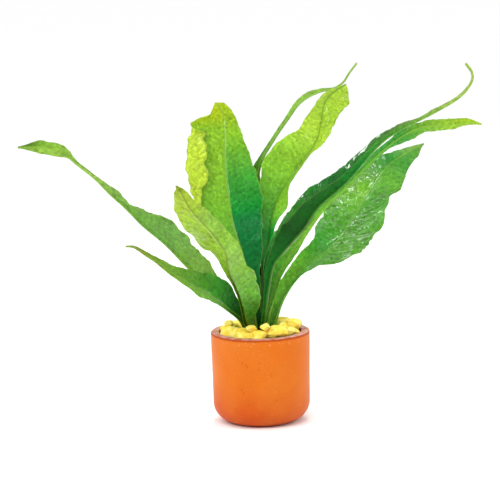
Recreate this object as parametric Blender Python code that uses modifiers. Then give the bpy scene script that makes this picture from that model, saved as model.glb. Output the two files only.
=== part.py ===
"""Young bird's nest fern in a small round terracotta pot, dressed with yellow stones.

+Z is up, +X runs along the long spread of the fronds, and the origin is the centre of the pot's base
on the ground. Sizes below are in millimetres and become metres when a mesh is made.
"""
import math

import bmesh
import bpy
from mathutils import Vector, noise

MM = 0.001
GAP = 0.3                       # clearance kept between pieces that rest on each other
SEAM_MERGE = 0.01               # points of a turned piece closer than this become one

# Pot
POT_DIAMETER = 100.0
POT_HEIGHT = 92.0
POT_TAPER = 1.5                 # how much smaller the radius is just above the rounded foot
POT_WALL = 9.5
POT_FLOOR = 9.0
POT_FOOT_RADIUS = 19.5          # outer rounding between wall and base
POT_INNER_FOOT_RADIUS = 9.0
POT_RIM_OUTER_RADIUS = 2.0
POT_RIM_INNER_RADIUS = 2.5
DRAIN_RADIUS = 6.0
POT_SIDES = 44
ARC_STEPS = 4                   # straight pieces in each quarter-round of the pot's profile

# Potting mix and the fern's crown, from which the fronds grow
SOIL_TOP = 83.0
SOIL_EDGE_DROP = 2.0            # the mix sinks a little where it meets the wall
SOIL_EDGE_WIDTH = 8.0
CROWN_RADIUS = 13.0
CROWN_HEIGHT = 5.0
CROWN_EDGE = 1.0                # the small upright step round the dome
TURNED_SIDES = 28

# Dressing stones
STONE_SEED = 7
STONE_SEED_STEP = Vector((3.7, 1.3, 5.1))   # how far apart in the noise two stones are taken
STONE_ROUGHNESS = 0.34          # the deepest hollow, as a share of the radius
STONE_BUMP_SCALE = 1.6
STONE_BUMP_GAIN = 1.8
STONE_SUBDIVISIONS = 2
STONES = [  # angle round the pot in degrees, distance from its axis, height of the middle, radius
    (205.0, 31.0, 92.4, 8.9),
    (238.0, 31.6, 91.8, 8.2),
    (267.5, 32.6, 91.0, 7.2),
    (299.0, 31.0, 92.8, 9.1),
    (331.0, 32.4, 91.4, 7.6),
    (358.0, 33.6, 98.0, 6.6),
    (40.0, 28.0, 92.9, 9.2),
    (76.0, 31.5, 91.4, 7.8),
    (107.0, 31.5, 92.0, 8.4),
    (140.0, 31.0, 92.3, 8.6),
    (172.0, 31.8, 91.6, 8.0),
    (221.5, 19.0, 88.0, 4.2),
    (252.0, 20.5, 90.0, 4.6),
    (283.0, 19.8, 89.0, 5.0),
    (316.0, 20.0, 88.4, 4.8),
    (345.0, 20.6, 88.8, 5.0),
    (78.0, 18.8, 88.4, 4.6),
    (124.0, 19.0, 88.4, 4.8),
    (166.0, 19.0, 88.0, 4.4),
    (252.5, 30.0, 99.6, 4.0),
    (280.0, 30.0, 100.8, 4.0),
    (189.0, 31.0, 100.6, 3.9),
    (320.0, 30.5, 99.6, 4.0),
]

# Fronds
FROND_THICKNESS = 1.2
FROND_LENGTHWAYS = 20           # quads from base to tip
FROND_ACROSS = 3                # quads from midrib to margin
HEM_STEPS = 2                   # quads across a hem, after its bend
HEM_BEND = 3.0                  # widest bend between the blade and its hem
RIB_SAMPLES = 400               # points used to measure the midrib's length

# Each frond: rib, its midrib from base to tip; face, the way its upper side looks, by share of the
# length; left and right, the half blade's width by share of the length; fold_left and fold_right, the
# angle by which each half rises from the flat, in degrees, by share of the length; hem_left, how much
# more of the blade is folded back over its front at the margin; turn_left, the angle of that fold.
FRONDS = {
    "frond_far_left": {
        "rib": [(-10, 3, 89), (-17, -1, 106), (-39, -8, 129), (-66, -18, 157), (-91, -28, 186),
                (-113, -36, 207), (-129, -42, 226), (-143, -46, 240), (-157, -49, 256),
                (-173, -52, 270), (-187, -55, 282), (-206, -58, 288), (-230, -60, 289)],
        "face": [(0, (0.7, -0.2, 0.6)), (0.75, (0.6, -0.25, 0.7)), (0.88, (0.2, -0.85, 0.5)),
                 (1, (0.1, -0.9, 0.4))],
        "left": [(0, 2), (0.15, 6), (0.22, 18), (0.3, 27), (0.37, 30), (0.43, 33), (0.49, 35),
                 (0.55, 20), (0.6, 8), (0.655, 12), (0.7, 7), (0.74, 2), (0.81, 2), (0.87, 8),
                 (0.93, 8), (1, 0.6)],
        "right": [(0, 2), (0.15, 5), (0.22, 12), (0.3, 18), (0.41, 19), (0.48, 20), (0.55, 12),
                  (0.6, 4), (0.655, 7), (0.7, 4), (0.74, 2), (0.81, 2), (0.87, 7), (0.93, 7),
                  (1, 0.6)],
        "fold_left": [(0, 50), (0.25, 62), (0.75, 60), (0.88, 15), (1, 10)],
        "fold_right": [(0, 50), (0.25, 62), (0.75, 60), (0.88, 15), (1, 10)],
    },
    "frond_low_left": {
        "rib": [(-12, -4, 89), (-18, -9, 105), (-36, -28, 124), (-49, -42, 137), (-61, -54, 146),
                (-82, -72, 163), (-98, -84, 178), (-107, -93, 186), (-118, -99, 195),
                (-126, -103, 197)],
        "face": [(0, (0.6, -0.5, 0.4)), (0.4, (0.35, -0.75, 0.55)), (1, (0.2, -0.6, 0.75))],
        "left": [(0, 2), (0.1, 8), (0.18, 8), (0.28, 6), (0.4, 10), (0.48, 12), (0.56, 8),
                 (0.65, 6), (0.8, 4), (1, 0.6)],
        "right": [(0, 2), (0.12, 9), (0.28, 23), (0.39, 22), (0.48, 18), (0.6, 12), (0.7, 7),
                  (0.85, 4), (1, 0.6)],
        "fold_left": [(0, 30), (0.4, 20), (1, 15)],
        "fold_right": [(0, 30), (0.4, 15), (1, 15)],
    },
    "frond_front_left": {
        "rib": [(-7, -11, 89), (-14, -16, 103), (-17, -24, 119), (-20, -31, 133), (-24, -38, 145),
                (-28, -46, 158), (-30, -52, 168), (-32, -60, 182), (-38, -67, 193), (-45, -74, 204),
                (-64, -90, 229), (-73, -100, 248), (-77, -104, 253)],
        "face": [(0, (-0.2, -0.9, -0.1)), (1, (-0.3, -0.9, -0.2))],
        "left": [(0, 2), (0.15, 3), (0.3, 3), (0.38, 6), (0.45, 11), (0.52, 19), (0.6, 25), (0.75, 24),
                 (0.85, 19), (0.95, 9), (1, 0.6)],
        "right": [(0, 2), (0.08, 8), (0.2, 20), (0.35, 23), (0.45, 17), (0.6, 14), (0.8, 12),
                  (0.94, 6), (1, 0.6)],
        "fold_left": [(0, -25), (1, -12)],
        "fold_right": [(0, -25), (1, -12)],
    },
    "frond_tall_left": {
        "rib": [(-3, 4, 91), (-5, 6, 107), (-9, 12, 137), (-15, 20, 163), (-20, 26, 179),
                (-25, 34, 196), (-28, 42, 215), (-31, 54, 243), (-32, 62, 262), (-32, 72, 287),
                (-34, 79, 307), (-41, 80, 316)],
        "face": [(0, (0.1, -0.95, 0.1)), (1, (0.05, -0.9, 0.3))],
        "left": [(0, 1), (0.1, 2), (0.22, 4), (0.34, 13.5), (0.45, 26), (0.52, 31), (0.57, 35),
                 (0.63, 37), (0.7, 39), (0.8, 37), (0.86, 32), (0.88, 30), (0.91, 32), (0.95, 24),
                 (0.985, 11), (1, 0.6)],
        "right": [(0, 3), (0.04, 5), (0.1, 6), (0.22, 12), (0.33, 22), (0.42, 29), (0.55, 35), (0.66, 31),
                  (0.76, 26), (0.84, 19), (0.92, 13), (0.97, 7), (1, 0.6)],
        "fold_left": [(0, 15), (0.3, 8), (1, 4)],
        "fold_right": [(0, 15), (0.3, 12), (1, 10)],
        "hem_left": [(0, 1), (0.46, 1.5), (0.54, 7), (0.6, 15), (0.66, 22), (0.72, 21), (0.84, 20),
                     (0.9, 4), (0.94, 1.5), (1, 0.6)],
        "turn_left": [(0, 0), (0.46, 0), (0.54, 150), (0.6, 166), (0.85, 168), (0.9, 60), (0.95, 0), (1, 0)],
    },
    "frond_back_slender": {
        "rib": [(2, 11, 88), (2, 24, 121), (3, 48, 168), (4, 64, 215), (1, 69, 238), (3, 71, 250),
                (7, 74, 260), (15, 78, 272), (24, 82, 285), (34, 86, 298), (44, 90, 311),
                (55, 94, 319), (68, 98, 324), (79, 102, 326), (86, 106, 328), (93, 107, 333),
                (99, 107, 342), (107, 108, 352)],
        "face": [(0, (-0.5, -0.7, 0.2)), (0.5, (-0.6, -0.6, 0.4)), (0.72, (-0.6, -0.5, 0.6)),
                 (0.82, (-0.5, -0.6, 0.6)), (1, (-0.3, -0.8, 0.5))],
        "left": [(0, 3), (0.08, 6), (0.25, 5), (0.44, 5), (0.5, 9), (0.56, 3.5), (0.66, 3),
                 (0.74, 4.5), (0.8, 5.5), (0.85, 3), (0.89, 1.2), (1, 0.6)],
        "right": [(0, 3), (0.08, 6), (0.25, 6), (0.5, 5), (0.56, 3), (0.66, 2.5), (0.74, 3.5),
                  (0.8, 4.5), (0.85, 2.5), (0.89, 1.2), (1, 0.6)],
        "fold_left": [(0, 20), (1, 20)],
        "fold_right": [(0, 20), (1, 20)],
    },
    "frond_tall_right": {
        "rib": [(6, 8, 90), (7, 12, 121), (9, 24, 158), (12, 40, 191), (21, 52, 218), (36, 62, 240),
                (61, 77, 271), (68, 85, 292), (74, 91, 315), (95, 97, 331)],
        "face": [(0, (-0.2, -0.95, 0.1)), (1, (-0.15, -0.9, 0.35))],
        "left": [(0, 2), (0.2, 4), (0.385, 13), (0.49, 23), (0.58, 34), (0.66, 33), (0.73, 27),
                 (0.81, 19), (0.9, 8), (1, 0.6)],
        "right": [(0, 2), (0.2, 4), (0.385, 12), (0.46, 17), (0.59, 15), (0.73, 14), (0.8, 16),
                  (0.9, 24), (0.96, 21), (0.99, 9), (1, 0.6)],
        "fold_left": [(0, 20), (0.5, 8), (1, 5)],
        "fold_right": [(0, 30), (0.36, 50), (0.45, 25), (0.54, 62), (0.68, 66), (0.82, 20), (1, 5)],
    },
    "frond_long_right": {
        "rib": [(0, -8, 90), (3, -14, 110), (7, -22, 137), (13, -28, 163), (24, -32, 178),
                (44, -38, 201), (59, -42, 223), (86, -47, 247), (116, -52, 281), (137, -56, 297),
                (167, -61, 312), (193, -65, 327), (205, -67, 340), (207, -68, 350), (201, -69, 360)],
        "face": [(0, (-0.8, -0.3, 0.3)), (0.3, (-0.75, -0.1, 0.65)), (1, (-0.6, -0.3, 0.7))],
        "left": [(0, 2), (0.1, 3), (0.2, 9), (0.27, 19), (0.34, 24), (0.42, 20), (0.52, 14),
                 (0.64, 8), (0.72, 5), (0.78, 2), (0.82, 3), (0.9, 2), (1, 0.6)],
        "right": [(0, 2), (0.1, 3), (0.2, 8), (0.27, 17), (0.34, 23), (0.42, 18), (0.52, 11),
                  (0.64, 6), (0.72, 4), (0.78, 2.5), (0.82, 5), (0.86, 2), (0.91, 4.5), (0.94, 2),
                  (0.97, 4), (1, 0.6)],
        "fold_left": [(0, 40), (0.3, 58), (0.7, 50), (1, 30)],
        "fold_right": [(0, 40), (0.3, 58), (0.7, 50), (1, 30)],
    },
    "frond_twisted_right": {
        "rib": [(6, -2, 90), (6, -5, 104), (13, -5, 129), (21, -3, 153), (42, 0, 183), (66, 5, 214),
                (88, 10, 233), (129, 20, 270), (164, 28, 290), (197, 34, 292), (214, 36, 294),
                (229, 38, 292)],
        "face": [(0, (-0.5, -0.8, 0.2)), (0.6, (-0.5, -0.7, 0.4)), (1, (-0.1, -0.85, 0.5))],
        "left": [(0, 2), (0.06, 4), (0.14, 8), (0.21, 13), (0.32, 17), (0.44, 15), (0.53, 11),
                 (0.62, 6), (0.69, 5), (0.75, 7), (0.81, 6), (0.9, 7), (0.95, 5), (1, 0.6)],
        "right": [(0, 2), (0.06, 3), (0.14, 7), (0.21, 9), (0.27, 9), (0.32, 5), (0.44, 4),
                  (0.53, 3), (0.62, 3), (0.69, 3), (0.73, 8), (0.77, 11), (0.82, 8), (0.9, 6),
                  (0.95, 4), (1, 0.6)],
        "fold_left": [(0, 30), (1, 10)],
        "fold_right": [(0, 30), (1, 10)],
    },
    "frond_broad_right": {
        "rib": [(12, 2, 88), (14, 3, 101), (22, 6, 122), (35, 11, 141), (50, 17, 156), (73, 26, 171),
                (86, 33, 183), (96, 40, 196), (113, 52, 221), (130, 63, 243), (142, 70, 253),
                (174, 82, 269)],
        "face": [(0, (-0.6, -0.7, 0.3)), (0.4, (-0.4, -0.85, 0.4)), (1, (-0.35, -0.85, 0.45))],
        "left": [(0, 3), (0.067, 6), (0.16, 10), (0.25, 12), (0.33, 15), (0.39, 18), (0.44, 27),
                 (0.51, 31), (0.57, 32), (0.69, 28), (0.8, 19), (0.87, 9), (0.94, 5), (1, 0.6)],
        "right": [(0, 2), (0.067, 2), (0.16, 3), (0.25, 5), (0.33, 12), (0.4, 25), (0.46, 36),
                  (0.52, 38), (0.58, 37), (0.66, 31), (0.7, 28), (0.74, 30), (0.8, 26), (0.87, 19),
                  (0.94, 12), (1, 0.6)],
        "fold_left": [(0, 30), (0.4, 14), (1, 8)],
        "fold_right": [(0, 30), (0.4, 14), (1, 8)],
    },
    "frond_hidden_back": {
        "rib": [(-4, 11, 88), (-7, 20, 116), (-11, 36, 153), (-17, 56, 188), (-25, 78, 216),
                (-31, 96, 230), (-36, 106, 234)],
        "face": [(0, (0.1, -0.95, 0.2)), (1, (0.1, -0.5, 0.85))],
        "left": [(0, 2), (0.15, 4), (0.4, 15), (0.65, 20), (0.85, 13), (1, 0.6)],
        "right": [(0, 2), (0.15, 4), (0.4, 11), (0.65, 16), (0.85, 11), (1, 0.6)],
        "fold_left": [(0, 25), (1, 15)],
        "fold_right": [(0, 25), (1, 15)],
    },
    "frond_short_back": {
        "rib": [(6, 14, 94), (9, 26, 112), (12, 44, 136), (16, 64, 158), (20, 84, 172),
                (24, 98, 178), (27, 106, 178)],
        "face": [(0, (-0.3, -0.9, 0.2)), (1, (-0.3, -0.4, 0.9))],
        "left": [(0, 2), (0.15, 4), (0.4, 13), (0.65, 17), (0.85, 11), (1, 0.6)],
        "right": [(0, 2), (0.15, 4), (0.4, 13), (0.65, 17), (0.85, 11), (1, 0.6)],
        "fold_left": [(0, 25), (1, 15)],
        "fold_right": [(0, 25), (1, 15)],
    },
}

LEAF_GREEN = (0.10, 0.36, 0.05)
STONE_YELLOW = (0.72, 0.60, 0.12)
TERRACOTTA = (0.80, 0.24, 0.06)
SOIL_BROWN = (0.07, 0.045, 0.03)
CROWN_BROWN = (0.11, 0.07, 0.03)


def clear_scene():
    for old in list(bpy.data.objects):
        bpy.data.objects.remove(old, do_unlink=True)


def make_material(name, colour, roughness):
    material = bpy.data.materials.new(name)
    material.use_nodes = True
    shader = material.node_tree.nodes["Principled BSDF"]
    shader.inputs["Base Color"].default_value = (*colour, 1.0)
    shader.inputs["Roughness"].default_value = roughness
    shader.inputs["Metallic"].default_value = 0.0
    return material


def add_object(name, mesh, material, collection):
    piece = bpy.data.objects.new(name, mesh)
    piece.data.materials.append(material)
    collection.objects.link(piece)
    return piece


def arc(centre, radius, start, end, steps):
    """Points of an arc in the profile plane, angles in degrees from +X towards +Z."""
    points = []
    for step in range(steps + 1):
        angle = math.radians(start + (end - start) * step / steps)
        points.append((centre[0] + radius * math.cos(angle), centre[1] + radius * math.sin(angle)))
    return points


def turn_profile(name, profile, sides, closed, material, collection):
    """Turn a profile, which runs down its outer side, round the Z axis."""
    mesh = bpy.data.meshes.new(name)
    points = [(r * MM, 0.0, z * MM) for r, z in profile]
    edges = [(i, i + 1) for i in range(len(points) - 1)]
    if closed:
        edges.append((len(points) - 1, 0))
    mesh.from_pydata(points, edges, [])
    piece = add_object(name, mesh, material, collection)
    screw = piece.modifiers.new("turn", "SCREW")
    screw.angle = math.radians(360.0)
    screw.steps = sides
    screw.render_steps = sides
    screw.use_merge_vertices = True
    screw.merge_threshold = SEAM_MERGE * MM
    screw.use_smooth_shade = True
    return piece


def pot_inner_radius(height):
    """Inner radius of the pot's wall at a height above the ground, clear of the rounded corner."""
    share = (POT_HEIGHT - height) / POT_HEIGHT
    return POT_DIAMETER / 2 - POT_WALL - POT_TAPER * share


def make_pot(material, collection):
    top = POT_DIAMETER / 2
    foot = top - POT_TAPER
    inner_top = pot_inner_radius(POT_HEIGHT)
    inner_foot = pot_inner_radius(POT_FLOOR)
    rim = POT_RIM_OUTER_RADIUS
    lip = POT_RIM_INNER_RADIUS
    corner = POT_FOOT_RADIUS
    hollow = POT_INNER_FOOT_RADIUS
    profile = arc((top - rim, POT_HEIGHT - rim), rim, 90, 0, ARC_STEPS)
    profile += arc((foot - corner, corner), corner, 0, -90, 2 * ARC_STEPS)
    profile += [(DRAIN_RADIUS, 0.0), (DRAIN_RADIUS, POT_FLOOR)]
    profile += arc((inner_foot - hollow, POT_FLOOR + hollow), hollow, -90, 0, ARC_STEPS)
    profile += arc((inner_top + lip, POT_HEIGHT - lip), lip, 180, 90, ARC_STEPS)
    return turn_profile("terracotta_pot", profile, POT_SIDES, True, material, collection)


def make_soil(material, collection):
    floor = POT_FLOOR + GAP
    hollow = POT_INNER_FOOT_RADIUS
    edge = pot_inner_radius(SOIL_TOP) - GAP
    foot = pot_inner_radius(POT_FLOOR) - GAP
    profile = [(0.0, SOIL_TOP), (edge - SOIL_EDGE_WIDTH, SOIL_TOP), (edge, SOIL_TOP - SOIL_EDGE_DROP)]
    profile += arc((foot - hollow, floor + hollow), hollow, 0, -90, ARC_STEPS)
    profile += [(0.0, floor)]
    return turn_profile("potting_mix", profile, POT_SIDES, False, material, collection)


def make_crown(material, collection):
    """The short scaly root stock that stands on the mix, a low dome."""
    base = SOIL_TOP + GAP
    profile = [(0.0, base + CROWN_HEIGHT)]
    for step in range(1, ARC_STEPS + 1):
        angle = math.radians(90.0 * step / ARC_STEPS)
        profile.append((CROWN_RADIUS * math.sin(angle), base + CROWN_HEIGHT * math.cos(angle)))
    profile[-1] = (CROWN_RADIUS, base + CROWN_EDGE)
    profile += [(CROWN_RADIUS - CROWN_EDGE, base), (0.0, base)]
    return turn_profile("crown", profile, TURNED_SIDES, False, material, collection)


def smooth_between(share, keys):
    """Read a value off a list of (share, value), with rounded ends to each stretch."""
    if share <= keys[0][0]:
        return keys[0][1]
    for (low, before), (high, after) in zip(keys, keys[1:]):
        if share <= high:
            t = (share - low) / (high - low)
            return before + (after - before) * (0.5 * t + 0.5 * t * t * (3 - 2 * t))
    return keys[-1][1]


def face_at(share, keys):
    for (low, before), (high, after) in zip(keys, keys[1:]):
        if share <= high:
            return Vector(before).lerp(Vector(after), (share - low) / (high - low))
    return Vector(keys[-1][1])


def rib_point(points, position):
    """Catmull-Rom curve through the midrib's points; position runs from 0 to the last index."""
    index = min(int(position), len(points) - 2)
    t = position - index
    before = points[max(index - 1, 0)]
    here = points[index]
    there = points[index + 1]
    after = points[min(index + 2, len(points) - 1)]
    return 0.5 * (2 * here + (there - before) * t + (2 * before - 5 * here + 4 * there - after) * t ** 2
                  + (3 * here - before - 3 * there + after) * t ** 3)


def even_rib(points, count):
    """Points evenly spaced along the midrib, from base to tip."""
    points = [Vector(p) for p in points]
    step = (len(points) - 1) / RIB_SAMPLES
    fine = [rib_point(points, index * step) for index in range(RIB_SAMPLES + 1)]
    lengths = [0.0]
    for a, b in zip(fine, fine[1:]):
        lengths.append(lengths[-1] + (b - a).length)
    even = []
    at = 0
    for place in range(count + 1):
        target = lengths[-1] * place / count
        while at < len(fine) - 2 and lengths[at + 1] < target:
            at += 1
        t = (target - lengths[at]) / (lengths[at + 1] - lengths[at])
        even.append(fine[at].lerp(fine[at + 1], min(t, 1.0)))
    return even


def half_section(width, fold, hem, turn):
    """Points out from the midrib in one half's section, as (sideways, upward), in millimetres."""
    steps = [(width / FROND_ACROSS, fold)] * FROND_ACROSS
    if hem > 0:
        bend = min(HEM_BEND, hem / (HEM_STEPS + 1))
        steps.append((bend, fold + turn / 2))
        steps += [((hem - bend) / HEM_STEPS, fold + turn)] * HEM_STEPS
    section = [(0.0, 0.0)]
    for length, angle in steps:
        side, rise = section[-1]
        angle = math.radians(angle)
        section.append((side + length * math.cos(angle), rise + length * math.sin(angle)))
    return section


def make_frond(name, shape, material, collection):
    """A strap-shaped blade: a grid laid along the midrib and folded to each side, then thickened."""
    plain = [(0, 0)]
    rib = even_rib(shape["rib"], FROND_LENGTHWAYS)
    rows = []
    for row, centre in enumerate(rib):
        share = row / FROND_LENGTHWAYS
        along = (rib[min(row + 1, FROND_LENGTHWAYS)] - rib[max(row - 1, 0)]).normalized()
        face = face_at(share, shape["face"])
        face = (face - along * face.dot(along)).normalized()
        side = along.cross(face)
        points = []
        for half, sign in (("left", -1.0), ("right", 1.0)):
            width = smooth_between(share, shape[half])
            fold = smooth_between(share, shape["fold_" + half])
            hem = smooth_between(share, shape.get("hem_" + half, plain))
            turn = smooth_between(share, shape.get("turn_" + half, plain))
            section = half_section(width, fold, hem, turn)
            section = [centre + side * (sign * s) + face * r for s, r in section]
            points += section[:0:-1] if half == "left" else section
        rows.append(points)

    sheet = bmesh.new()
    columns = len(rows[0]) - 1
    bmesh.ops.create_grid(sheet, x_segments=FROND_LENGTHWAYS, y_segments=columns, size=1.0)
    for vertex in sheet.verts:
        row = round((vertex.co.x + 1.0) / 2.0 * FROND_LENGTHWAYS)
        column = round((vertex.co.y + 1.0) / 2.0 * columns)
        vertex.co = rows[row][column] * MM
    mesh = bpy.data.meshes.new(name)
    sheet.to_mesh(mesh)
    sheet.free()
    mesh.shade_smooth()
    piece = add_object(name, mesh, material, collection)
    skin = piece.modifiers.new("thickness", "SOLIDIFY")
    skin.thickness = FROND_THICKNESS * MM
    skin.offset = 0.0
    return piece


def make_stone(name, centre, radius, seed, material, collection):
    """A rough convex lump that stays inside a ball of the given radius."""
    lump = bmesh.new()
    bmesh.ops.create_icosphere(lump, subdivisions=STONE_SUBDIVISIONS, radius=1.0)
    for vertex in lump.verts:
        bump = noise.noise(vertex.co * STONE_BUMP_SCALE + STONE_SEED_STEP * seed) * STONE_BUMP_GAIN
        hollow = 0.5 + 0.5 * max(-1.0, min(1.0, bump))
        size = radius * (1.0 - STONE_ROUGHNESS * hollow)
        vertex.co = (Vector(centre) + vertex.co * size) * MM
    bmesh.ops.delete(lump, geom=lump.edges, context="EDGES_FACES")
    hull = bmesh.ops.convex_hull(lump, input=lump.verts)
    unused = {item for item in hull["geom_interior"] + hull["geom_unused"]
              if isinstance(item, bmesh.types.BMVert)}
    bmesh.ops.delete(lump, geom=list(unused), context="VERTS")
    bmesh.ops.recalc_face_normals(lump, faces=lump.faces)
    mesh = bpy.data.meshes.new(name)
    lump.to_mesh(mesh)
    lump.free()
    return add_object(name, mesh, material, collection)


def build():
    clear_scene()
    collection = bpy.data.collections.new("fern_in_terracotta_pot")
    bpy.context.scene.collection.children.link(collection)
    make_pot(make_material("terracotta", TERRACOTTA, 0.6), collection)
    make_soil(make_material("potting_mix", SOIL_BROWN, 0.95), collection)
    make_crown(make_material("crown", CROWN_BROWN, 0.9), collection)
    leaf = make_material("leaf", LEAF_GREEN, 0.35)
    for name, shape in FRONDS.items():
        make_frond(name, shape, leaf, collection)
    stone = make_material("yellow_stone", STONE_YELLOW, 0.9)
    for index, (angle, ring, height, radius) in enumerate(STONES, start=1):
        turn = math.radians(angle)
        centre = (ring * math.cos(turn), ring * math.sin(turn), height)
        make_stone(f"yellow_stone_{index:02d}", centre, radius, STONE_SEED + index, stone, collection)


build()
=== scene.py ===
import math
import random

import bmesh
import bpy
from mathutils import Matrix, Vector, noise


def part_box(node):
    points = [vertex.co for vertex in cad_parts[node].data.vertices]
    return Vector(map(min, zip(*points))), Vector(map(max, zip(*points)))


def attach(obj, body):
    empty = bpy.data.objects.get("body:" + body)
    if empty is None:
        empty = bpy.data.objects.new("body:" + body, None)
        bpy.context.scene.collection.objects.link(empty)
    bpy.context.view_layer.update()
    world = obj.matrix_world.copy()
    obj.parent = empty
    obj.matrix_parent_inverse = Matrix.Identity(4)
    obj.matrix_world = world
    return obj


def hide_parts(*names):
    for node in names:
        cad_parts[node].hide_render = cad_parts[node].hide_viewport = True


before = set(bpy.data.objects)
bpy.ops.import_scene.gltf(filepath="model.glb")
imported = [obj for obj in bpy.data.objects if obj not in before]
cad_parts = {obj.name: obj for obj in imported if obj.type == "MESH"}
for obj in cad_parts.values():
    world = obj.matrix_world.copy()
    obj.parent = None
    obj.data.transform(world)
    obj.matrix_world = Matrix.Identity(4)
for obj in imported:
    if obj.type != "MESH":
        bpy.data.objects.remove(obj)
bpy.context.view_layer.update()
mm = 0.001
print("frame loaded with", len(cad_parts), "nodes")


# Shader maths: a number on its way between nodes, written as ordinary sums

class Wire:
    def __init__(self, finish, socket):
        self.finish = finish
        self.socket = socket

    def join(self, operation, first, second):
        return self.finish.node("ShaderNodeMath", {"operation": operation}, {0: first, 1: second})

    def __add__(self, other):
        return self.join("ADD", self, other)

    def __radd__(self, other):
        return self.join("ADD", other, self)

    def __sub__(self, other):
        return self.join("SUBTRACT", self, other)

    def __rsub__(self, other):
        return self.join("SUBTRACT", other, self)

    def __mul__(self, other):
        return self.join("MULTIPLY", self, other)

    def __rmul__(self, other):
        return self.join("MULTIPLY", other, self)

    def __pow__(self, other):
        return self.join("POWER", self, other)

    def size(self):
        return self.join("ABSOLUTE", self, 0.0)

    def wave(self):
        # a sine between 0 and 1, one crest for each whole number
        return self.join("SINE", self * math.tau, 0.0) * 0.5 + 0.5

    def rise(self, low, high):
        # 0 below low, 1 above high, smooth between
        settings = {"interpolation_type": "SMOOTHSTEP"}
        return self.finish.node("ShaderNodeMapRange", settings,
                                {"Value": self, "From Min": low, "From Max": high})


def paint(red, green, blue):
    # a screen colour from 0 to 255, as the linear colour that a shader takes
    linear = [(c / 255 / 12.92) if c < 11 else ((c / 255 + 0.055) / 1.055) ** 2.4 for c in (red, green, blue)]
    return (*linear, 1.0)


studioLight = 1.4       # how much brighter than its own colour a matt surface looks in this light
studioSheen = 0.032     # what the pale surroundings add to every glossy surface


def seen(red, green, blue):
    # a colour as it should look in the studio, with the light and the sheen taken off
    return (*[max(0.003, (c - studioSheen) / studioLight) for c in paint(red, green, blue)[:3]], 1.0)


class Finish:
    def __init__(self, name, **shaderValues):
        self.material = bpy.data.materials.new(name)
        self.material.use_nodes = True
        self.tree = self.material.node_tree
        self.shader = self.tree.nodes["Principled BSDF"]
        for socket, value in shaderValues.items():
            self.shader.inputs[socket.replace("_", " ")].default_value = value

    def node(self, kind, settings, values, output=0):
        node = self.tree.nodes.new(kind)
        for name, value in settings.items():
            if name == "stops":
                self.setStops(node.color_ramp, value)
            else:
                setattr(node, name, value)
        for name, value in values.items():
            self.plug(node.inputs[name], value)
        return Wire(self, node.outputs[output])

    def plug(self, socket, value):
        if isinstance(value, Wire):
            self.tree.links.new(value.socket, socket)
        else:
            socket.default_value = value

    def setStops(self, ramp, stops):
        while len(ramp.elements) > 1:
            ramp.elements.remove(ramp.elements[-1])
        ramp.elements[0].position = stops[0][0]
        ramp.elements[0].color = stops[0][1]
        for place, colour in stops[1:]:
            ramp.elements.new(place).color = colour

    def feed(self, socketName, value):
        self.plug(self.shader.inputs[socketName], value)

    def mix(self, factor, colourA, colourB):
        return self.node("ShaderNodeMix", {"data_type": "RGBA"}, {0: factor, 6: colourA, 7: colourB}, 2)

    def shade(self, colour, brightness):
        return self.node("ShaderNodeVectorMath", {"operation": "SCALE"}, {0: colour, "Scale": brightness})

    def attribute(self, name):
        return self.node("ShaderNodeAttribute", {"attribute_name": name}, {}, 2)

    def place(self):
        return self.node("ShaderNodeTexCoord", {}, {}, 3)

    def split(self, vector):
        return [self.node("ShaderNodeSeparateXYZ", {}, {0: vector}, axis) for axis in range(3)]

    def noise(self, vector, scale, detail=2.0, roughness=0.5):
        values = {"Vector": vector, "Scale": scale, "Detail": detail, "Roughness": roughness}
        return self.node("ShaderNodeTexNoise", {}, values)

    def cells(self, vector, scale):
        return self.node("ShaderNodeTexVoronoi", {}, {"Vector": vector, "Scale": scale})

    def bump(self, height, distance, strength=1.0):
        values = {"Height": height, "Distance": distance, "Strength": strength}
        self.feed("Normal", self.node("ShaderNodeBump", {}, values))


# Modelling helpers

def startPiece():
    bpy.ops.object.select_all(action="DESELECT")


def finishPiece(piece, finish, slot, *nodes):
    piece.data.materials.clear()
    piece.data.materials.append(finish.material)
    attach(piece, "root")
    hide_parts(*nodes)


def pickFaces(test):
    # selects the faces of the mesh being edited whose middle and normal pass the test
    bpy.ops.mesh.select_mode(type="FACE")
    bpy.ops.mesh.select_all(action="DESELECT")
    mesh = bmesh.from_edit_mesh(bpy.context.object.data)
    for face in mesh.faces:
        face.select_set(test(face.calc_center_median(), face.normal))
    bmesh.update_edit_mesh(bpy.context.object.data)


def pickEdges(test):
    # selects the edges of the mesh being edited whose two ends pass the test
    bpy.ops.mesh.select_mode(type="EDGE")
    bpy.ops.mesh.select_all(action="DESELECT")
    mesh = bmesh.from_edit_mesh(bpy.context.object.data)
    for edge in mesh.edges:
        edge.select_set(test(edge.verts[0].co, edge.verts[1].co))
    bmesh.update_edit_mesh(bpy.context.object.data)


def ringTest(height, radius, reach=0.2 * mm):
    # true for an edge that lies on a circle round the pot's axis
    def test(a, b):
        return all(abs(p.z - height) < reach and abs(p.xy.length - radius) < reach for p in (a, b))
    return test


def bevelRing(height, radius, width, segments):
    pickEdges(ringTest(height, radius))
    bpy.ops.mesh.bevel(offset=width, segments=segments, affect="EDGES", clamp_overlap=True)


# Terracotta pot

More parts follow.
